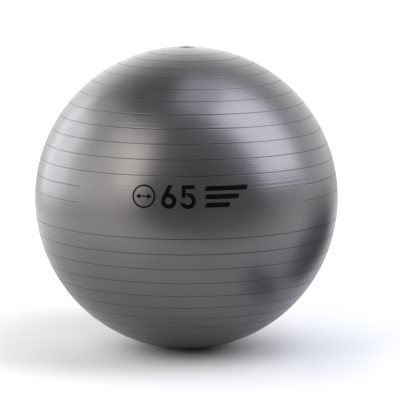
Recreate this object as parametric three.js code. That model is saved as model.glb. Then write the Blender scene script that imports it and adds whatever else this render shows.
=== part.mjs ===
// An inflated exercise ball, 65 cm across: a one-piece moulded vinyl shell, the valve seat bonded into
// its top, and the stopper plug pressed into the seat.
// Millimetres, +Z up along the ball's axis. The origin is the middle of the flat patch the ball rests on,
// and -Y is the smooth front panel.
import * as THREE from "three";

// The ball
const BALL_DIAMETER = 650;
const SHELL_WALL = 0.9;
const CONTACT_PATCH_RADIUS = 36; // where the ball's own weight flattens it on the floor

// The shell is moulded thicker round the valve, and thins out to its own wall over a short slope
const VALVE_LAND_WALL = 2.0;
const VALVE_LAND_RADIUS = 22;
const VALVE_LAND_SLOPE_END = 34;
const SHELL_HOLE_RADIUS = 11.8;

// The valve seat: heights and depths are measured from the shell's top
const SEAT_GAP = 0.3; // between the seat and the shell
const SEAT_FLANGE_RADIUS = 16.5;
const SEAT_FLANGE_HEIGHT = 0.9;
const SEAT_FLANGE_EDGE_ROUND = 0.45;
const SEAT_NECK_RADIUS = SHELL_HOLE_RADIUS - SEAT_GAP;
const SEAT_INNER_FLANGE_RADIUS = 19;
const SEAT_INNER_FLANGE_THICKNESS = 1.6;
const SEAT_SLEEVE_RADIUS_TOP = 8.6;
const SEAT_SLEEVE_RADIUS_END = 7.4;
const SEAT_SLEEVE_DEPTH = 32;
const SEAT_RECESS_RADIUS = 8.95;
const SEAT_RECESS_DEPTH = 1.0; // depth of the recess floor under the shell's top
const BORE_RADIUS_TOP = 6.0;
const BORE_RADIUS_END = 5.3;

// The stopper plug
const PLUG_CLEARANCE = 0.2; // between the plug's tapered stem and the bore
const PLUG_HEAD_RADIUS = 8.6;
const PLUG_HEAD_HEIGHT = 0.9;
const PLUG_HEAD_CROWN = 0.3;
const PLUG_HEAD_EDGE_ROUND = 0.5;
const PLUG_HEAD_GAP = 0.3; // under the head, above the recess floor
const PLUG_DEPTH = 24;
const PLUG_TIP_ROUND = 2;
const PLUG_GROOVE_DEPTHS = [7, 12, 17];
const PLUG_GROOVE_WIDTH = 1.4;
const PLUG_GROOVE_CUT = 0.5;

// Facets
const BALL_SEGMENTS = 48;
const SHELL_ARC_STEPS = 12; // rows between the equator and either pole
const ROUND_STEPS = 4;

// The ball's centre stands lower than its radius, because the contact patch cuts its lowest part off
const BALL_RADIUS = BALL_DIAMETER / 2;
const CENTRE_HEIGHT = Math.sqrt(BALL_RADIUS ** 2 - CONTACT_PATCH_RADIUS ** 2);
const TOP_HEIGHT = CENTRE_HEIGHT + BALL_RADIUS;

const vinyl = new THREE.MeshStandardMaterial({ color: 0x626164, roughness: 0.38, metalness: 0.5 });
const seatVinyl = new THREE.MeshStandardMaterial({ color: 0x4a4a4d, roughness: 0.5, metalness: 0.2 });
const plugPlastic = new THREE.MeshStandardMaterial({ color: 0x3c3c3f, roughness: 0.42, metalness: 0 });

// A profile point: distance from the ball's axis, and height above the floor.
function point(radius, height) {
  return new THREE.Vector2(radius, height);
}

// A profile point given by its height above (or, when negative, its depth under) the shell's top.
function valvePoint(radius, fromTop) {
  return point(radius, TOP_HEIGHT + fromTop);
}

// Height of a sphere about the ball's centre, at a distance from the axis, measured from the shell's top.
function sphereFromTop(sphereRadius, radius) {
  return Math.sqrt(sphereRadius ** 2 - radius ** 2) - BALL_RADIUS;
}

// Points along a circular arc about (radius, height), by angle from the outward radial direction.
function arc(centreRadius, centreHeight, arcRadius, startAngle, endAngle, steps) {
  const points = [];
  for (let i = 0; i <= steps; i++) {
    const angle = startAngle + ((endAngle - startAngle) * i) / steps;
    const radius = centreRadius + arcRadius * Math.cos(angle);
    const height = centreHeight + arcRadius * Math.sin(angle);
    points.push(point(radius, height));
  }
  return points;
}

// The half-profile of a sphere about the ball's centre, upwards between two distances from the axis.
// It always has a row at the equator, so the ball keeps its full diameter.
function sphereProfile(sphereRadius, lowRadius, highRadius) {
  const lowAngle = -Math.acos(lowRadius / sphereRadius);
  const highAngle = Math.acos(highRadius / sphereRadius);
  const lower = arc(0, CENTRE_HEIGHT, sphereRadius, lowAngle, 0, SHELL_ARC_STEPS);
  const upper = arc(0, CENTRE_HEIGHT, sphereRadius, 0, highAngle, SHELL_ARC_STEPS);
  return [...lower, ...upper.slice(1)];
}

// A named solid of revolution about the ball's axis, from a closed profile that runs upwards outside.
function revolved(name, profile, material) {
  const geometry = new THREE.LatheGeometry(profile, BALL_SEGMENTS);
  geometry.rotateX(Math.PI / 2);
  const mesh = new THREE.Mesh(geometry, material);
  mesh.name = name;
  return mesh;
}

// The shell: outer skin up to the valve hole, down the hole's wall, and the inner skin back to the axis.
function ballShell() {
  const outer = sphereProfile(BALL_RADIUS, CONTACT_PATCH_RADIUS, SHELL_HOLE_RADIUS);
  const landSphere = BALL_RADIUS - VALVE_LAND_WALL;
  const innerSphere = BALL_RADIUS - SHELL_WALL;
  const land = [SHELL_HOLE_RADIUS, VALVE_LAND_RADIUS].map((radius) =>
    valvePoint(radius, sphereFromTop(landSphere, radius)),
  );
  const innerFloorRadius = Math.sqrt(innerSphere ** 2 - (CENTRE_HEIGHT - SHELL_WALL) ** 2);
  const inner = sphereProfile(innerSphere, innerFloorRadius, VALVE_LAND_SLOPE_END).reverse();
  return revolved("ball_shell", [point(0, 0), ...outer, ...land, ...inner, point(0, SHELL_WALL)], vinyl);
}

// Radius of the seat's tapered bore at a depth under the shell's top.
function boreRadius(depth) {
  const along = (depth - SEAT_RECESS_DEPTH) / (SEAT_SLEEVE_DEPTH - SEAT_RECESS_DEPTH);
  return BORE_RADIUS_TOP + (BORE_RADIUS_END - BORE_RADIUS_TOP) * along;
}

// The valve seat: a thin flange on the shell, a neck through its hole, a wider flange inside, and a
// tapered sleeve that hangs into the ball. The profile is a closed ring round the bore.
function valveSeat() {
  const underFlange = (radius) => sphereFromTop(BALL_RADIUS, radius) + SEAT_GAP;
  const overInnerFlange = (radius) => sphereFromTop(BALL_RADIUS - VALVE_LAND_WALL, radius) - SEAT_GAP;
  const innerFlangeTop = overInnerFlange(SEAT_INNER_FLANGE_RADIUS);
  const innerFlangeBottom = innerFlangeTop - SEAT_INNER_FLANGE_THICKNESS;
  const flangeEdge = arc(
    SEAT_FLANGE_RADIUS - SEAT_FLANGE_EDGE_ROUND,
    TOP_HEIGHT + SEAT_FLANGE_HEIGHT - SEAT_FLANGE_EDGE_ROUND,
    SEAT_FLANGE_EDGE_ROUND,
    0,
    Math.PI / 2,
    ROUND_STEPS,
  );
  const profile = [
    valvePoint(BORE_RADIUS_END, -SEAT_SLEEVE_DEPTH),
    valvePoint(SEAT_SLEEVE_RADIUS_END, -SEAT_SLEEVE_DEPTH),
    valvePoint(SEAT_SLEEVE_RADIUS_TOP, innerFlangeBottom),
    valvePoint(SEAT_INNER_FLANGE_RADIUS, innerFlangeBottom),
    valvePoint(SEAT_INNER_FLANGE_RADIUS, innerFlangeTop),
    valvePoint(SEAT_NECK_RADIUS, overInnerFlange(SEAT_NECK_RADIUS)),
    valvePoint(SEAT_NECK_RADIUS, underFlange(SEAT_NECK_RADIUS)),
    valvePoint(SEAT_FLANGE_RADIUS, underFlange(SEAT_FLANGE_RADIUS)),
    ...flangeEdge,
    valvePoint(SEAT_RECESS_RADIUS, SEAT_FLANGE_HEIGHT),
    valvePoint(SEAT_RECESS_RADIUS, -SEAT_RECESS_DEPTH),
    valvePoint(BORE_RADIUS_TOP, -SEAT_RECESS_DEPTH),
  ];
  return revolved("valve_seat", [...profile, profile[0].clone()], seatVinyl);
}

// The stopper plug: a round tip, a tapered stem with grip grooves, and a low crowned head.
function valvePlug() {
  const stemRadius = (depth) => boreRadius(depth) - PLUG_CLEARANCE;
  const tip = arc(
    stemRadius(PLUG_DEPTH) - PLUG_TIP_ROUND,
    TOP_HEIGHT - PLUG_DEPTH + PLUG_TIP_ROUND,
    PLUG_TIP_ROUND,
    -Math.PI / 2,
    0,
    ROUND_STEPS,
  );
  const grooves = [...PLUG_GROOVE_DEPTHS].reverse().flatMap((depth) => {
    const low = depth + PLUG_GROOVE_WIDTH / 2;
    const high = depth - PLUG_GROOVE_WIDTH / 2;
    return [
      valvePoint(stemRadius(low), -low),
      valvePoint(stemRadius(depth) - PLUG_GROOVE_CUT, -depth),
      valvePoint(stemRadius(high), -high),
    ];
  });
  const headUnderside = PLUG_HEAD_GAP - SEAT_RECESS_DEPTH;
  const crownHeight = (radius) =>
    PLUG_HEAD_HEIGHT + PLUG_HEAD_CROWN * (1 - (radius / PLUG_HEAD_RADIUS) ** 2);
  const headEdge = arc(
    PLUG_HEAD_RADIUS - PLUG_HEAD_EDGE_ROUND,
    TOP_HEIGHT + PLUG_HEAD_HEIGHT - PLUG_HEAD_EDGE_ROUND,
    PLUG_HEAD_EDGE_ROUND,
    0,
    Math.PI / 2,
    ROUND_STEPS,
  );
  const profile = [
    valvePoint(0, -PLUG_DEPTH),
    ...tip,
    ...grooves,
    valvePoint(stemRadius(SEAT_RECESS_DEPTH), headUnderside),
    valvePoint(PLUG_HEAD_RADIUS, headUnderside),
    ...headEdge,
    valvePoint(PLUG_HEAD_RADIUS / 2, crownHeight(PLUG_HEAD_RADIUS / 2)),
    valvePoint(0, crownHeight(0)),
  ];
  return revolved("valve_plug", profile, plugPlastic);
}

const exerciseBall = new THREE.Group();
exerciseBall.add(ballShell(), valveSeat(), valvePlug());

export default exerciseBall;
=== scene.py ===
import math

import bpy
import numpy as np
from mathutils import Matrix, Vector


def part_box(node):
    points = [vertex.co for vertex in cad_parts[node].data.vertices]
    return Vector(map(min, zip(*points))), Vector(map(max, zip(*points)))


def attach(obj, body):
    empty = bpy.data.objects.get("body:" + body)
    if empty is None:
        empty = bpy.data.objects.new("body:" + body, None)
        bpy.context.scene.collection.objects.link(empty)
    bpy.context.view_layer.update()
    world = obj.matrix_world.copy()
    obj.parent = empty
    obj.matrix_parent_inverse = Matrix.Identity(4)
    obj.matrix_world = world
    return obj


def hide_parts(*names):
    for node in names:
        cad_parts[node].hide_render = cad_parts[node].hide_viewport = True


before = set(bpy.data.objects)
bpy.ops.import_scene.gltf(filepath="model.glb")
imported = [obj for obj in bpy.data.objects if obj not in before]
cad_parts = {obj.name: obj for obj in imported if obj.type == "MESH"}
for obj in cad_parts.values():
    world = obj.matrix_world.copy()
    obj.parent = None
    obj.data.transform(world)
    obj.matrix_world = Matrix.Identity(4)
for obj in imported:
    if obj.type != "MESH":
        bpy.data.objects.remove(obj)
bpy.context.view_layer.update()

# An inflated exercise ball in graphite vinyl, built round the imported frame. Metres, +Z up along the ball's
# axis, -Y towards the middle of the smooth front panel. Azimuths run from -Y towards +X, in degrees.

shell_low, shell_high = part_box("ball_shell")
seat_low, seat_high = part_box("valve_seat")
plug_low, plug_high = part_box("valve_plug")

MM = 0.001

# ---- The ball, in the frame's own numbers
BALL_RADIUS = (shell_high.x - shell_low.x) / 2
PATCH_RADIUS = 36 * MM  # the flat patch that the ball stands on
CENTRE_Z = shell_low.z + math.sqrt(BALL_RADIUS**2 - PATCH_RADIUS**2)
TOP_Z = CENTRE_Z + BALL_RADIUS
WALL = 0.9 * MM
HOLE_RADIUS = 11.8 * MM
LAND_WALL = 2.0 * MM  # the skin is thicker round the valve
LAND_RADIUS = 22 * MM
LAND_SLOPE_END = 34 * MM  # where it has thinned out to WALL
FOOT_FLAT = 28 * MM  # where the skin starts to lift off the floor
FOOT_LIFT_END = 50 * MM  # where it has joined the sphere

# ---- The rings moulded into the skin
PARTING_LATITUDE = -1.0
FIRST_GROOVE = 5.455  # degrees from the parting line, up and down
GROOVE_STEP = 5.93
GROOVES_EACH_WAY = 13
GROOVE_HALF_WIDTH = 1.25 * MM
GROOVE_DEPTH = 0.34 * MM
PANEL_HALF_WIDTH = 46.1  # azimuth to which the front panel interrupts its two rings
PANEL_RINGS = 2  # how many rings above the parting line stop at the panel
PANEL_RING_END = 0.5  # degrees over which a ring runs out

# ---- How finely the skin is divided
COLUMNS = 240
ROWS_BETWEEN_RINGS = 3
CAP_ROWS = 9  # between the highest ring and the valve hole
CAP_START = 1.2  # degrees above that ring
INNER_ROWS = 40
FOOT_STEPS = 7


def unit(latitude, azimuth):
    """Directions from the ball's centre, for angles in degrees."""
    lat, az = np.broadcast_arrays(np.radians(latitude), np.radians(azimuth))
    return np.stack([np.cos(lat) * np.sin(az), -np.cos(lat) * np.cos(az), np.sin(lat)], -1)


def smooth(t):
    """0 to 1 with soft ends, held outside."""
    t = np.clip(t, 0, 1)
    return t * t * (3 - 2 * t)


def over_sphere(sphere_radius, radius):
    """Height of a sphere about the ball's centre, at a distance from the axis."""
    return CENTRE_Z + math.sqrt(sphere_radius**2 - radius**2)


# ---------------------------------------------------------------- meshes


def mesh_object(name, points, faces, material):
    mesh = bpy.data.meshes.new(name)
    mesh.from_pydata([tuple(p) for p in points], [], faces)
    mesh.validate()
    mesh.polygons.foreach_set("use_smooth", [True] * len(mesh.polygons))
    mesh.materials.append(material)
    piece = bpy.data.objects.new(name, mesh)
    bpy.context.scene.collection.objects.link(piece)
    return piece


def revolved(name, rings, material, closed=False):
    """A skin through rings of points, where a ring of one point is a pole.

    A closed skin also joins its last ring to its first.
    """
    starts = np.cumsum([0] + [len(ring) for ring in rings])
    points = np.concatenate(rings)
    faces = []
    pairs = list(zip(range(len(rings)), range(1, len(rings))))
    if closed:
        pairs.append((len(rings) - 1, 0))
    for low, high in pairs:
        count = max(len(rings[low]), len(rings[high]))
        for j in range(count):
            k = (j + 1) % count
            a, b = starts[low], starts[high]
            if len(rings[low]) == 1:
                faces.append((a, b + k, b + j))
            elif len(rings[high]) == 1:
                faces.append((a + j, a + k, b))
            else:
                faces.append((a + j, a + k, b + k, b + j))
    return mesh_object(name, points, [tuple(int(v) for v in f) for f in faces], material)


def ring(radius, z, angles, spread=None):
    """Points round the axis at one height. spread is an extra radius at each angle."""
    if radius == 0:
        return np.array([[0.0, 0.0, z]])
    radii = radius + (0 if spread is None else spread)
    turns = np.radians(angles)
    return np.stack([radii * np.sin(turns), -radii * np.cos(turns), np.full(len(angles), z)], -1)


def store(piece, name, values):
    """A number on each vertex, which a material can read."""
    layer = piece.data.attributes.new(name, "FLOAT", "POINT")
    layer.data.foreach_set("value", np.asarray(values, np.float32))


# ---------------------------------------------------------------- materials


class Shader:
    """A material's node tree, with short calls for the nodes it uses."""

    def __init__(self, name):
        self.material = bpy.data.materials.new(name)
        self.material.use_nodes = True
        self.tree = self.material.node_tree
        self.tree.nodes.clear()
        self.output = self.node("ShaderNodeOutputMaterial")
        self.surface = self.node("ShaderNodeBsdfPrincipled")
        self.tree.links.new(self.surface.outputs[0], self.output.inputs["Surface"])

    def node(self, kind, **settings):
        made = self.tree.nodes.new(kind)
        for key, value in settings.items():
            setattr(made, key, value)
        return made

    def feed(self, socket, value):
        if isinstance(value, bpy.types.NodeSocket):
            self.tree.links.new(value, socket)
        else:
            socket.default_value = value

    def math(self, operation, a, b=0.0):
        made = self.node("ShaderNodeMath", operation=operation)
        for socket, value in zip(made.inputs, (a, b)):
            self.feed(socket, value)
        return made.outputs[0]

    def ramp(self, value, low, high, out_low=0.0, out_high=1.0):
        """value from low to high becomes out_low to out_high, held at both ends."""
        made = self.node("ShaderNodeMapRange", interpolation_type="SMOOTHSTEP")
        for socket, number in zip(made.inputs, (value, low, high, out_low, out_high)):
            self.feed(socket, number)
        return made.outputs[0]

    def position(self):
        return self.node("ShaderNodeTexCoord").outputs["Object"]

    def noise(self, vector, scale, detail=2.0, roughness=0.5):
        made = self.node("ShaderNodeTexNoise")
        self.feed(made.inputs["Vector"], vector)
        made.inputs["Scale"].default_value = scale
        made.inputs["Detail"].default_value = detail
        made.inputs["Roughness"].default_value = roughness
        return made.outputs["Fac"]

    def mix(self, share, a, b):
        made = self.node("ShaderNodeMix", data_type="RGBA")
        self.feed(made.inputs["Factor"], share)
        self.feed(made.inputs["A"], a)
        self.feed(made.inputs["B"], b)
        return made.outputs["Result"]

    def attribute(self, name):
        return self.node("ShaderNodeAttribute", attribute_name=name).outputs["Fac"]

    def bump(self, height, distance, below=None):
        made = self.node("ShaderNodeBump")
        self.feed(made.inputs["Height"], height)
        made.inputs["Distance"].default_value = distance
        if below is not None:
            self.feed(made.inputs["Normal"], below)
        return made.outputs[0]

    def set(self, **values):
        """Values for the surface's sockets, by name with _ for a space."""
        for key, value in values.items():
            self.feed(self.surface.inputs[key.replace("_", " ")], value)


def grey(level):
    return (level, level, level, 1)


def graphite(level):
    """The ball's grey, which leans a little towards violet."""
    return (level * 1.025, level * 0.985, level * 1.005, 1)


def flaked(s, place, vinyl):
    """The vinyl's colour with fine metal flake in it."""
    fleck = s.noise(place, 2600.0, detail=1.0)
    return s.mix(s.ramp(fleck, 0.45, 0.75, 0.0, 0.35), vinyl, graphite(0.20))


def ball_vinyl():
    """Satin graphite vinyl: metal flake, a fine moulded grain, faint streaks round the axis, and painted
    shade in the rings.
    """
    s = Shader("graphite_skin")
    place = s.position()
    cloud = s.noise(place, 9.0, detail=4.0)
    grain = s.noise(place, 900.0, detail=3.0, roughness=0.6)
    groove = s.attribute("groove")

    axes = s.node("ShaderNodeSeparateXYZ")
    s.feed(axes.inputs[0], place)
    above = s.math("SUBTRACT", axes.outputs[2], CENTRE_Z)
    across = s.math("SQRT", s.math("SUBTRACT", BALL_RADIUS**2, s.math("POWER", above, 2.0)))
    latitude = s.math("ARCTAN2", above, across)
    streaks = s.node("ShaderNodeTexNoise", noise_dimensions="1D")
    s.feed(streaks.inputs["W"], latitude)
    streaks.inputs["Scale"].default_value = 70.0
    streaks.inputs["Detail"].default_value = 2.0

    skin = flaked(s, place, s.mix(s.ramp(cloud, 0.3, 0.7), graphite(0.108), graphite(0.122)))
    # Painted shade: the rings are painted darker, fully metallic and rougher, for the shade that falls in
    # them.
    ring_painted_shade = s.ramp(groove, 0.02, 0.6)
    skin = s.mix(ring_painted_shade, skin, graphite(0.066))
    rough = s.ramp(cloud, 0.3, 0.7, 0.28, 0.33)
    rough = s.math("ADD", rough, s.math("MULTIPLY", ring_painted_shade, 0.12))
    metal = s.math("ADD", 0.7, s.math("MULTIPLY", ring_painted_shade, 0.3))
    streaked = s.bump(streaks.outputs["Fac"], 0.2 * MM)
    relief = s.bump(grain, 0.03 * MM, below=streaked)
    s.set(Base_Color=skin, Metallic=metal, Roughness=rough, Normal=relief)
    return s.material


def seat_vinyl():
    """The same vinyl as the ball's, with the same flake, moulded smoother."""
    s = Shader("valve_seat_skin")
    place = s.position()
    grain = s.noise(place, 1500.0, detail=3.0)
    cloud = s.noise(place, 120.0, detail=3.0)
    s.set(
        Base_Color=flaked(s, place, s.mix(cloud, graphite(0.10), graphite(0.12))),
        Metallic=0.6,
        Roughness=s.ramp(cloud, 0.3, 0.7, 0.27, 0.33),
        Normal=s.bump(grain, 0.02 * MM),
    )
    return s.material


def plug_plastic():
    """A darker, harder plastic with a low sheen."""
    s = Shader("plug_skin")
    place = s.position()
    grain = s.noise(place, 2200.0, detail=2.0)
    cloud = s.noise(place, 200.0, detail=3.0)
    s.set(
        Base_Color=s.mix(cloud, graphite(0.075), graphite(0.095)),
        Metallic=0.5,
        Roughness=s.ramp(cloud, 0.3, 0.7, 0.24, 0.32),
        Normal=s.bump(grain, 0.01 * MM),
    )
    return s.material


def print_ink():
    """Matt black ink."""
    s = Shader("print_ink")
    place = s.position()
    grain = s.noise(place, 1400.0, detail=3.0)
    cloud = s.noise(place, 60.0, detail=4.0)
    s.set(
        Base_Color=s.mix(cloud, grey(0.001), grey(0.003)),
        Roughness=s.ramp(cloud, 0.3, 0.7, 0.42, 0.55),
        Specular_IOR_Level=0.05,
        Normal=s.bump(grain, 0.03 * MM),
    )
    return s.material


def dark_reflection_paint():
    """Painted dark reflection: a dark sheet that only the ball's gloss shows. It thins out all round, from
    the middle of a sheet that reaches from -1 to 1.
    """
    s = Shader("dark_reflection_paint")
    place = s.position()
    out = s.node("ShaderNodeVectorMath", operation="LENGTH")
    s.feed(out.inputs[0], place)
    s.set(
        Base_Color=s.mix(s.noise(place, 60.0), (0.14, 0.135, 0.17, 1), (0.18, 0.175, 0.21, 1)),
        Roughness=0.9,
        Alpha=s.ramp(out.outputs["Value"], 0.35, 1.0, 1.0, 0.0),
    )
    return s.material


def paper_white(level):
    """A white with a little warmth in it."""
    return (level * 1.01, level, level * 0.98, 1)


GLOW_START, GLOW_FULL = 0.3, 1.75  # metres from the middle of the ball's foot
GLOW = 0.73


def floor_paint():
    """Matt white paper. It glows further out, as paper lit from behind does, so the distance stays white."""
    s = Shader("floor_paint")
    place = s.position()
    away = s.node("ShaderNodeVectorMath", operation="LENGTH")
    s.feed(away.inputs[0], place)
    s.set(
        Base_Color=s.mix(s.noise(place, 3.0, detail=4.0), paper_white(0.69), paper_white(0.71)),
        Roughness=0.8,
        Emission_Color=grey(1.0),
        Emission_Strength=s.ramp(away.outputs["Value"], GLOW_START, GLOW_FULL, 0.0, GLOW),
    )
    return s.material


# ---------------------------------------------------------------- the shell


def groove_latitudes():
    """(latitude, whether the panel interrupts it) of each ring, from the lowest to the highest."""
    found = []
    for k in range(GROOVES_EACH_WAY):
        found.append((PARTING_LATITUDE + FIRST_GROOVE + GROOVE_STEP * k, k < PANEL_RINGS))
        found.append((PARTING_LATITUDE - FIRST_GROOVE - GROOVE_STEP * k, False))
    return sorted(found)


def skin_rows():
    """Rows of the outer skin, lowest first: (latitude, share of a ring's depth, if the panel stops it)."""
    rows = []
    across = [-1.4, -1.0, -0.55, 0.0, 0.55, 1.0, 1.4]  # in half-widths of a ring
    half = math.degrees(GROOVE_HALF_WIDTH / BALL_RADIUS)
    rings = groove_latitudes()
    for latitude, stops in rings:
        for t in across:
            deep = 0.5 + 0.5 * math.cos(math.pi * min(abs(t), 1))
            rows.append((latitude + t * half, deep, stops))
    for (low, _), (high, _) in zip(rings, rings[1:]):
        for i in range(1, ROWS_BETWEEN_RINGS + 1):
            rows.append((low + (high - low) * i / (ROWS_BETWEEN_RINGS + 1), 0.0, False))
    hole = math.degrees(math.acos(HOLE_RADIUS / BALL_RADIUS))
    cap = np.linspace(rings[-1][0] + CAP_START, hole, CAP_ROWS)
    rows += [(float(latitude), 0.0, False) for latitude in cap]
    return sorted(rows)


def foot_profile():
    """(radius, height) of the outer skin from the middle of its flat patch to where it joins the sphere."""
    joined = -math.sqrt(BALL_RADIUS**2 - FOOT_LIFT_END**2)
    height = CENTRE_Z + joined
    slope = FOOT_LIFT_END / -joined
    span = FOOT_LIFT_END - FOOT_FLAT
    profile = [(0.0, 0.0), (FOOT_FLAT / 3, 0.0), (FOOT_FLAT * 2 / 3, 0.0), (FOOT_FLAT, 0.0)]
    for i in range(1, FOOT_STEPS + 1):
        t = i / FOOT_STEPS
        rise = height * t * t * (3 - 2 * t) + slope * span * t * t * (t - 1)
        profile.append((FOOT_FLAT + span * t, max(rise, 0.0)))
    return profile


def ball_shell(material):
    """The hollow skin, from the middle of its foot up the outside, and back down the inside."""
    steps = (-0.1, 0.3, 0.6, 1.1)  # extra columns where the panel's two rings run out
    ends = [side * (PANEL_HALF_WIDTH + step * PANEL_RING_END) for side in (-1, 1) for step in steps]
    angles = np.array(sorted([360 * i / COLUMNS - 180 for i in range(COLUMNS)] + ends))
    runs = smooth((np.abs(angles) - PANEL_HALF_WIDTH) / PANEL_RING_END)
    lift_latitude = -math.degrees(math.acos(FOOT_LIFT_END / BALL_RADIUS))
    rings, depth = [], []

    def add(points, value=0.0):
        rings.append(points)
        depth.append(np.broadcast_to(value, len(points)))

    for radius, z in foot_profile():
        add(ring(radius, z, angles))
    for latitude, deep, stops in skin_rows():
        if latitude <= lift_latitude:
            continue
        sunk = deep * (runs if stops else np.ones(len(angles)))
        radii = BALL_RADIUS - GROOVE_DEPTH * sunk
        add(unit(latitude, angles) * radii[:, None] + [0, 0, CENTRE_Z], sunk)
    for radius, wall in [(HOLE_RADIUS, LAND_WALL), (LAND_RADIUS, LAND_WALL), (LAND_SLOPE_END, WALL)]:
        add(ring(radius, over_sphere(BALL_RADIUS - wall, radius), angles))
    inside = BALL_RADIUS - WALL
    top = math.degrees(math.acos(LAND_SLOPE_END / inside))
    bottom = -math.degrees(math.acos(FOOT_LIFT_END / inside))
    for latitude in np.linspace(top, bottom, INNER_ROWS)[1:]:
        add(unit(latitude, angles) * inside + [0, 0, CENTRE_Z])
    for radius, z in reversed(foot_profile()[:-1]):
        add(ring(radius, z + WALL, angles))
    piece = revolved("ball_skin", rings, material)
    store(piece, "groove", np.concatenate(depth))
    return piece


# ---------------------------------------------------------------- the valve

ROUND = np.linspace(0, 360, 160, endpoint=False)

FLANGE_DROP = 0.35 * MM  # how much lower the visible flange is than its CAD solid
HEAD_DROP = 0.55 * MM  # and the rim of the plug's head, from the top of its CAD solid
SEAT_FLANGE_RADIUS = 16.5 * MM
SEAT_FLANGE_EDGE = 0.5 * MM
RIM_DEPTH = 0.3 * MM  # of the shallow channel round the flange
SEAT_RECESS_RADIUS = 8.95 * MM
SEAT_RECESS_DEPTH = 1.0 * MM
SEAT_NECK_RADIUS = 11.5 * MM
SEAT_SLEEVE_TOP, SEAT_SLEEVE_END = 8.6 * MM, 7.4 * MM
SEAT_INNER_THICKNESS = 1.6 * MM
BORE_TOP, BORE_END = 6.0 * MM, 5.3 * MM
SEAT_GAP = 0.3 * MM
NOTCH_DEPTH = 1.5 * MM
NOTCH_HALF_ANGLE = 24
NOTCH_FLOOR = 0.15  # share of that angle over which a notch keeps its full depth
PLUG_CLEARANCE = 0.2 * MM
PLUG_HEAD_GAP = 0.3 * MM
PLUG_GROOVES = [7 * MM, 12 * MM, 17 * MM]


def direction(vector):
    return vector / np.linalg.norm(vector)


def rounded(corners, steps=4):
    """A profile of (radius, height), from corners that also say how far each is rounded, in millimetres."""
    places = [np.array(corner[:2]) for corner in corners]
    made = []
    for i, (x, z, rounding) in enumerate(corners):
        if rounding == 0:
            made.append((x, z))
            continue
        size = rounding * MM
        here = places[i]
        back = direction(places[i - 1] - here)
        ahead = direction(places[(i + 1) % len(places)] - here)
        half = math.acos(np.clip(back @ ahead, -1, 1)) / 2
        run = size / math.tan(half)
        middle = here + direction(back + ahead) * size / math.sin(half)
        start = here + back * run - middle
        end = here + ahead * run - middle
        turn = math.acos(np.clip(start @ end / size**2, -1, 1))
        for j in range(steps + 1):
            t = j / steps
            a = math.sin((1 - t) * turn) / math.sin(turn)
            b = math.sin(t * turn) / math.sin(turn)
            made.append(tuple(middle + a * start + b * end))
    return made


def valve_seat(material):
    """Flange, neck, inner flange and sleeve round the bore, with two fingernail notches in the recess."""
    sleeve_end = seat_low.z
    inner_radius = seat_high.x
    under_land = BALL_RADIUS - LAND_WALL
    inner_top = over_sphere(under_land, inner_radius) - SEAT_GAP
    inner_bottom = inner_top - SEAT_INNER_THICKNESS
    neck_bottom = over_sphere(under_land, SEAT_NECK_RADIUS) - SEAT_GAP
    neck_top = over_sphere(BALL_RADIUS, SEAT_NECK_RADIUS) + SEAT_GAP
    flange_bottom = over_sphere(BALL_RADIUS, SEAT_FLANGE_RADIUS) + SEAT_GAP / 2
    flange_top = seat_high.z - FLANGE_DROP
    recess = TOP_Z - SEAT_RECESS_DEPTH
    corners = [
        (BORE_END, sleeve_end, 0.5),
        (SEAT_SLEEVE_END, sleeve_end, 0.6),
        (SEAT_SLEEVE_TOP, inner_bottom, 0),
        (inner_radius, inner_bottom, 0.5),
        (inner_radius, inner_top, 0.3),
        (SEAT_NECK_RADIUS, neck_bottom, 0),
        (SEAT_NECK_RADIUS, neck_top, 0),
        (SEAT_FLANGE_RADIUS, flange_bottom, 0.12),
        (SEAT_FLANGE_RADIUS, flange_top - SEAT_FLANGE_EDGE, 0.15),
        (14.6 * MM, flange_top - 0.05 * MM, 0.25),
        (13.9 * MM, flange_top - RIM_DEPTH, 0.2),
        (12.9 * MM, flange_top - RIM_DEPTH, 0.2),
        (12.2 * MM, flange_top, 0.2),
        (SEAT_RECESS_RADIUS, flange_top, 0.25),
        (SEAT_RECESS_RADIUS, recess, 0.25),
        (BORE_TOP, recess, 0.3),
    ]
    reach = np.abs((ROUND + 90) % 180 - 90) / NOTCH_HALF_ANGLE
    notch = NOTCH_DEPTH * (1 - smooth((reach - NOTCH_FLOOR) / (1 - NOTCH_FLOOR)))
    rings = []
    for radius, z in rounded(corners):
        on_recess_wall = abs(radius - SEAT_RECESS_RADIUS) < 0.35 * MM and z > recess - 0.01 * MM
        rings.append(ring(radius, z, ROUND, notch if on_recess_wall else None))
    return revolved("valve_seat_insert", rings, material, closed=True)


def stem_radius(depth):
    """Radius of the plug's tapered stem, at a depth under the ball's top."""
    along = (depth - SEAT_RECESS_DEPTH) / (TOP_Z - seat_low.z - SEAT_RECESS_DEPTH)
    return BORE_TOP + (BORE_END - BORE_TOP) * along - PLUG_CLEARANCE


def valve_plug(material):
    """A round-tipped stem with three grip grooves, under a low head with a ring-shaped dish in it."""
    head_radius = plug_high.x
    tip_depth = TOP_Z - plug_low.z
    underside = TOP_Z - SEAT_RECESS_DEPTH + PLUG_HEAD_GAP
    head_top = plug_high.z - HEAD_DROP
    corners = [(0.0, plug_low.z, 0), (stem_radius(tip_depth), plug_low.z, 2.0)]
    for depth in reversed(PLUG_GROOVES):
        for shift, cut in ((0.9, 0.0), (0.4, 0.5), (-0.4, 0.5), (-0.9, 0.0)):  # millimetres
            level = depth + shift * MM
            corners.append((stem_radius(level) - cut * MM, TOP_Z - level, 0))
    corners += [
        (stem_radius(SEAT_RECESS_DEPTH), underside, 0),
        (head_radius, underside, 0.25),
        (head_radius, head_top, 0.5),
        (7.0 * MM, head_top + 0.1 * MM, 0.25),
        (6.4 * MM, head_top - 0.25 * MM, 0.2),
        (2.0 * MM, head_top - 0.2 * MM, 0.15),
        (1.6 * MM, head_top + 0.1 * MM, 0.25),
        (0.0, head_top + 0.12 * MM, 0),
    ]
    rings = [ring(radius, z, ROUND) for radius, z in rounded(corners)]
    return revolved("valve_stopper", rings, material)


# ---------------------------------------------------------------- the print on the front panel

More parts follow.
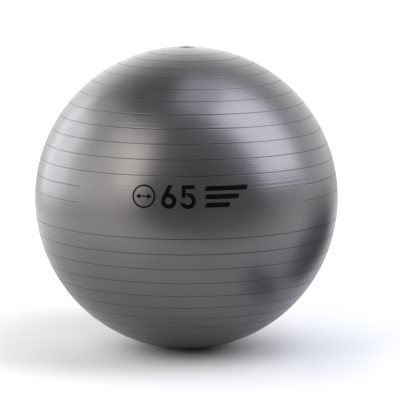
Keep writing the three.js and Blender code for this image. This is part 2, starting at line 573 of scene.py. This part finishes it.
PRINT_LATITUDE = 8.9
PRINT_AZIMUTH = -0.7
INK_LIFT = 0.12 * MM
INK_SUNK = 0.25 * MM
PRINT_HALF_WIDTH, PRINT_HALF_HEIGHT = 128, 28  # millimetres, as is the next
PRINT_CELL = 0.9

# Each of these is below zero inside its shape


def hoop(x, y, cx, cy, r, weight):
    """A circle of radius r, drawn with a pen of width weight."""
    return np.abs(np.hypot(x - cx, y - cy) - r) - weight / 2


def stroke(x, y, x0, y0, x1, y1, weight):
    """A straight line with round ends."""
    dx, dy = x1 - x0, y1 - y0
    t = np.clip(((x - x0) * dx + (y - y0) * dy) / (dx * dx + dy * dy), 0, 1)
    return np.hypot(x - x0 - t * dx, y - y0 - t * dy) - weight / 2


def bar(x, y, x0, y0, x1, y1, slant=0.0):
    """A box, whose ends lean by slant for each unit of height."""
    lean = slant * (y - (y0 + y1) / 2)
    return np.maximum(np.maximum(x0 + lean - x, x - x1 - lean), np.maximum(y0 - y, y - y1))


def wedge(x, y, tip_x, tip_y, length, half):
    """A triangle that opens from its tip by half each way over length, to the left if that is negative."""
    side = math.copysign(1, length)
    along = side * (x - tip_x)
    return np.maximum(np.abs(y - tip_y) - half * along / abs(length), along - abs(length))


def print_shape(x, y):
    """Below zero inside the ink. Millimetres from the middle of the print, x to the right and y up."""
    gauge = hoop(x, y, -99, 0, 22.5, 3.6)
    gauge = np.minimum(gauge, bar(x, y, -108, -1.5, -90, 1.5))
    gauge = np.minimum(gauge, wedge(x, y, -116.5, 0, 10, 6))
    gauge = np.minimum(gauge, wedge(x, y, -81.5, 0, -10, 6))
    weight = 8.5
    six = hoop(x, y, -47, -8.5, 11.5, weight)
    six = np.minimum(six, stroke(x, y, -57, -2.8, -40, 32, weight))
    six = np.maximum(six, y - 24)
    five = np.maximum(hoop(x, y, -8, -8.0, 12.0, weight), -np.maximum(x + 8, np.abs(y + 4) - 8))
    five = np.minimum(five, bar(x, y, -20.5, -2, -12.5, 24))
    five = np.minimum(five, bar(x, y, -20.5, 16, 6, 24))
    lines = bar(x, y, 28, 12, 118, 22, slant=0.35)
    lines = np.minimum(lines, bar(x, y, 28, -5, 98, 5, slant=0.35))
    lines = np.minimum(lines, bar(x, y, 28, -22, 78, -12, slant=0.35))
    return np.minimum(np.minimum(gauge, lines), np.minimum(six, five))


def inked_cells(shape, half_width, half_height, cell):
    """Flat polygons that cover where shape is below zero, with their edges on its zero line."""
    xs = np.arange(-half_width, half_width + cell, cell)
    ys = np.arange(-half_height, half_height + cell, cell)
    level = shape(*np.meshgrid(xs, ys, indexing="ij"))
    points, numbers, faces = [], {}, []

    def corner(i, j):
        return vertex((i, j, i, j), xs[i], ys[j])

    def crossing(a, b):
        a, b = sorted((a, b))
        t = level[a] / (level[a] - level[b])
        x = xs[a[0]] + t * (xs[b[0]] - xs[a[0]])
        y = ys[a[1]] + t * (ys[b[1]] - ys[a[1]])
        return vertex((*a, *b), x, y)

    def vertex(key, x, y):
        if key not in numbers:
            numbers[key] = len(points)
            points.append((x, y))
        return numbers[key]

    for i in range(len(xs) - 1):
        for j in range(len(ys) - 1):
            around = [(i, j), (i + 1, j), (i + 1, j + 1), (i, j + 1)]
            inside = [level[c] < 0 for c in around]
            if not any(inside):
                continue
            face = []
            for n in range(4):
                m = (n + 1) % 4
                if inside[n]:
                    face.append(corner(*around[n]))
                if inside[n] != inside[m]:
                    face.append(crossing(around[n], around[m]))
            faces.append(face)
    return np.array(points), faces


def printed_mark(material):
    """The size mark, as a thin film of ink wrapped onto the skin."""
    flat, faces = inked_cells(print_shape, PRINT_HALF_WIDTH, PRINT_HALF_HEIGHT, PRINT_CELL)
    row_radius = BALL_RADIUS * math.cos(math.radians(PRINT_LATITUDE))
    turns = np.degrees(flat[:, 0] * MM / row_radius)
    rises = np.degrees(flat[:, 1] * MM / BALL_RADIUS)
    outward = unit(PRINT_LATITUDE + rises, PRINT_AZIMUTH + turns)
    top = outward * (BALL_RADIUS + INK_LIFT)
    bottom = outward * (BALL_RADIUS - INK_SUNK)
    points = np.concatenate([top, bottom]) + [0, 0, CENTRE_Z]
    count = len(flat)
    under = [[v + count for v in reversed(face)] for face in faces]
    edges = {(face[k], face[(k + 1) % len(face)]) for face in faces for k in range(len(face))}
    walls = [[b, a, a + count, b + count] for a, b in edges if (b, a) not in edges]
    return mesh_object("size_mark_ink", points, faces + under + walls, material)


# ---------------------------------------------------------------- the stage

CAMERA_DISTANCE = 5.98
CAMERA_AZIMUTH = -2.9
CAMERA_ELEVATION = 8.8
CAMERA_LENS = 250.5
SENSOR_WIDTH = 36
AIM_RIGHT, AIM_DOWN = 0.029, 0.0054  # metres from the ball's centre, as the photo is framed


def place_camera():
    towards = Vector(unit(CAMERA_ELEVATION, CAMERA_AZIMUTH))
    turn = towards.to_track_quat("Z", "Y")
    centre = Vector((0, 0, CENTRE_Z))
    aim = centre + turn @ Vector((AIM_RIGHT, -AIM_DOWN, 0))
    camera = bpy.data.objects.new("camera", bpy.data.cameras.new("camera"))
    camera.data.lens = CAMERA_LENS
    camera.data.sensor_width = SENSOR_WIDTH
    camera.data.clip_end = 100
    place = Matrix.Translation(aim + towards * CAMERA_DISTANCE)
    camera.matrix_world = place @ turn.to_matrix().to_4x4()
    bpy.context.scene.collection.objects.link(camera)
    bpy.context.scene.camera = camera


SOFTBOX_DISTANCE = 1.8

# The white cove, and its unlit part above and behind the camera
DARK_AZIMUTH, DARK_ELEVATION = 9, 53  # the middle of that part
DARK_EDGE, COVE_EDGE = 0.52, -0.13  # cosines from that middle, between which one fades into the other
DARK_RADIANCE, COVE_RADIANCE = 0.06, 1.54
BACKDROP_RADIANCE = 1.1  # what the camera itself sees


def softbox(name, azimuth, elevation, across, upright, radiance, colour):
    """A soft rectangular light that faces the ball's centre and isn't seen itself.

    Azimuth is measured from the camera's side towards +X. across and upright are the angles that it fills.
    """
    lamp = bpy.data.lights.new(name, "AREA")
    lamp.shape = "RECTANGLE"
    lamp.size = 2 * SOFTBOX_DISTANCE * math.tan(math.radians(across / 2))
    lamp.size_y = 2 * SOFTBOX_DISTANCE * math.tan(math.radians(upright / 2))
    lamp.energy = radiance * math.pi * lamp.size * lamp.size_y
    lamp.color = colour
    away = Vector(unit(elevation, CAMERA_AZIMUTH + azimuth))
    light = bpy.data.objects.new(name, lamp)
    place = Matrix.Translation(Vector((0, 0, CENTRE_Z)) + away * SOFTBOX_DISTANCE)
    light.matrix_world = place @ away.to_track_quat("Z", "Y").to_matrix().to_4x4()
    light.visible_camera = False
    bpy.context.scene.collection.objects.link(light)


def surroundings():
    """A white cove round the ball, unlit on the camera's side. The camera itself sees plain white."""
    world = bpy.data.worlds.new("studio")
    bpy.context.scene.world = world
    world.use_nodes = True
    tree = world.node_tree
    tree.nodes.clear()
    out = tree.nodes.new("ShaderNodeOutputWorld")
    pick = tree.nodes.new("ShaderNodeMixShader")
    seen, lit = tree.nodes.new("ShaderNodeBackground"), tree.nodes.new("ShaderNodeBackground")
    path = tree.nodes.new("ShaderNodeLightPath")
    seen.inputs["Color"].default_value = lit.inputs["Color"].default_value = grey(1.0)
    seen.inputs["Strength"].default_value = BACKDROP_RADIANCE
    coordinates = tree.nodes.new("ShaderNodeTexCoord")
    dot = tree.nodes.new("ShaderNodeVectorMath")
    dot.operation = "DOT_PRODUCT"
    dot.inputs[1].default_value = tuple(unit(DARK_ELEVATION, CAMERA_AZIMUTH + DARK_AZIMUTH))
    ramp = tree.nodes.new("ShaderNodeMapRange")
    ramp.interpolation_type = "SMOOTHSTEP"
    limits = (COVE_EDGE, DARK_EDGE, COVE_RADIANCE, DARK_RADIANCE)
    for socket, number in zip(ramp.inputs[1:5], limits):
        socket.default_value = number
    tree.links.new(coordinates.outputs["Generated"], dot.inputs[0])
    tree.links.new(dot.outputs["Value"], ramp.inputs[0])
    tree.links.new(ramp.outputs[0], lit.inputs["Strength"])
    tree.links.new(path.outputs["Is Camera Ray"], pick.inputs[0])
    tree.links.new(lit.outputs[0], pick.inputs[1])
    tree.links.new(seen.outputs[0], pick.inputs[2])
    tree.links.new(pick.outputs[0], out.inputs["Surface"])


def reflected_only(piece):
    """Keeps a piece of the studio out of sight, so that only the ball's gloss shows it."""
    piece.visible_camera = False
    piece.visible_diffuse = False
    piece.visible_shadow = False


def studio():
    """The room and its lamps. Each spill is a wider, weaker softbox that softens a strong one's edge."""
    surroundings()
    softbox("softbox_right", 75, 42, 35, 56, 3.7, (0.83, 0.87, 1.0))
    softbox("softbox_right_spill", 78, 51, 46, 84, 2.1, (0.84, 0.88, 1.0))
    softbox("softbox_left_front", 318, 27, 19, 33, 2.95, (1.0, 0.965, 0.915))
    softbox("softbox_left_front_spill", 311, 27, 32, 58, 2.0, (1.0, 0.955, 0.90))
    softbox("softbox_left", 274, 27, 45, 55, 1.5, (0.97, 1.0, 1.0))
    softbox("softbox_back_left", 243, 15, 35, 42, 2.65, (0.92, 0.94, 1.0))
    softbox("softbox_back", 200, 30, 60, 30, 0.6, (1.0, 1.0, 1.0))


PAPER_SIDE, PAPER_BACK = 12, 30
PAPER_FRONT = 1.0  # how far in front of the ball its near edge lies
PAPER_SLOPE = 0.54  # how much nearer that edge comes, for each metre to the ball's right


def floor(material):
    """A white paper sweep, with the unlit room beyond its near edge."""
    xs = np.array([-PAPER_SIDE, -2, -1, 0, 1, PAPER_SIDE])
    shares = np.array([0, 0.05, 0.1, 0.2, 1])
    near = np.minimum(PAPER_SLOPE * xs - PAPER_FRONT, 0)
    points = [(x, low + share * (PAPER_BACK - low), 0) for share in shares for x, low in zip(xs, near)]
    width = len(xs)
    faces = [
        (j * width + i, j * width + i + 1, (j + 1) * width + i + 1, (j + 1) * width + i)
        for j in range(len(shares) - 1)
        for i in range(width - 1)
    ]
    mesh_object("floor", points, faces, material)


def dark_reflection_sheet(name, middle, across, upright, material):
    """A soft-edged dark sheet beside the ball, seen only in the ball's gloss, where it paints a dark
    reflection. across and upright are its half sides, as vectors.
    """
    points = [(-1, -1, 0), (1, -1, 0), (1, 1, 0), (-1, 1, 0)]
    piece = mesh_object(name, points, [(0, 1, 2, 3)], material)
    across, upright = Vector(across), Vector(upright)
    turn = Matrix((across, upright, across.cross(upright))).transposed()
    piece.matrix_world = Matrix.Translation(middle) @ turn.to_4x4()
    reflected_only(piece)


place_camera()

shell = ball_shell(ball_vinyl())
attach(shell, "ball")
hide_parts("ball_shell")

seat = valve_seat(seat_vinyl())
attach(seat, "ball")
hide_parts("valve_seat")

plug = valve_plug(plug_plastic())
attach(plug, "plug")
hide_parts("valve_plug")

mark = printed_mark(print_ink())
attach(mark, "ball")

floor(floor_paint())
# Two dark sheets that only the ball's gloss shows, painting dark patches into its reflections: one stands
# beside the ball, one lies on the paper.
dark_patch_paint = dark_reflection_paint()
dark_reflection_sheet("painted_reflection_beside", (0.40, -0.085, 0.15), (0, 0.17, 0), (0, 0, 0.28), dark_patch_paint)
dark_reflection_sheet("painted_reflection_on_paper", (0.305, -0.29, 0.004), (0.12, 0, 0), (0, 0.20, 0), dark_patch_paint)
studio()
bpy.context.scene.view_settings.view_transform = "Standard"


def corners(bounds):
    return [[float(v) for v in corner] for corner in bounds]
